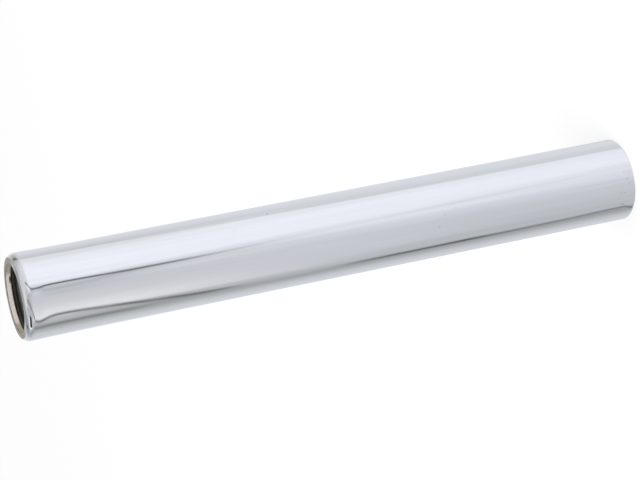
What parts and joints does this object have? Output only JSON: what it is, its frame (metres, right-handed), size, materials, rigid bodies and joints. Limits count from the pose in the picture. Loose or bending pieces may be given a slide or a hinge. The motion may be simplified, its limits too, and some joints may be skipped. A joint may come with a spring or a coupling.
{
  "type": "basin waste tail pipe",
  "caption": "Chrome plated brass tail pipe for a basin waste, one straight tube with an inturned lip at the top and a plain cut end.",
  "frame": {"origin": "centre of the plain cut end, on the pipe's axis at its lowest point", "axes": "+Z along the pipe's axis from the cut end up to the lip face; +X and +Y square to it, the pipe is round so neither is special"},
  "size_m": [0.0326, 0.0326, 0.245],
  "materials": {
    "plated_brass": "polished chrome plate outside, dull and unplated in the bore"
  },
  "bodies": {
    "root": {"tail_pipe": "plated_brass"}
  },
  "joints": []
}
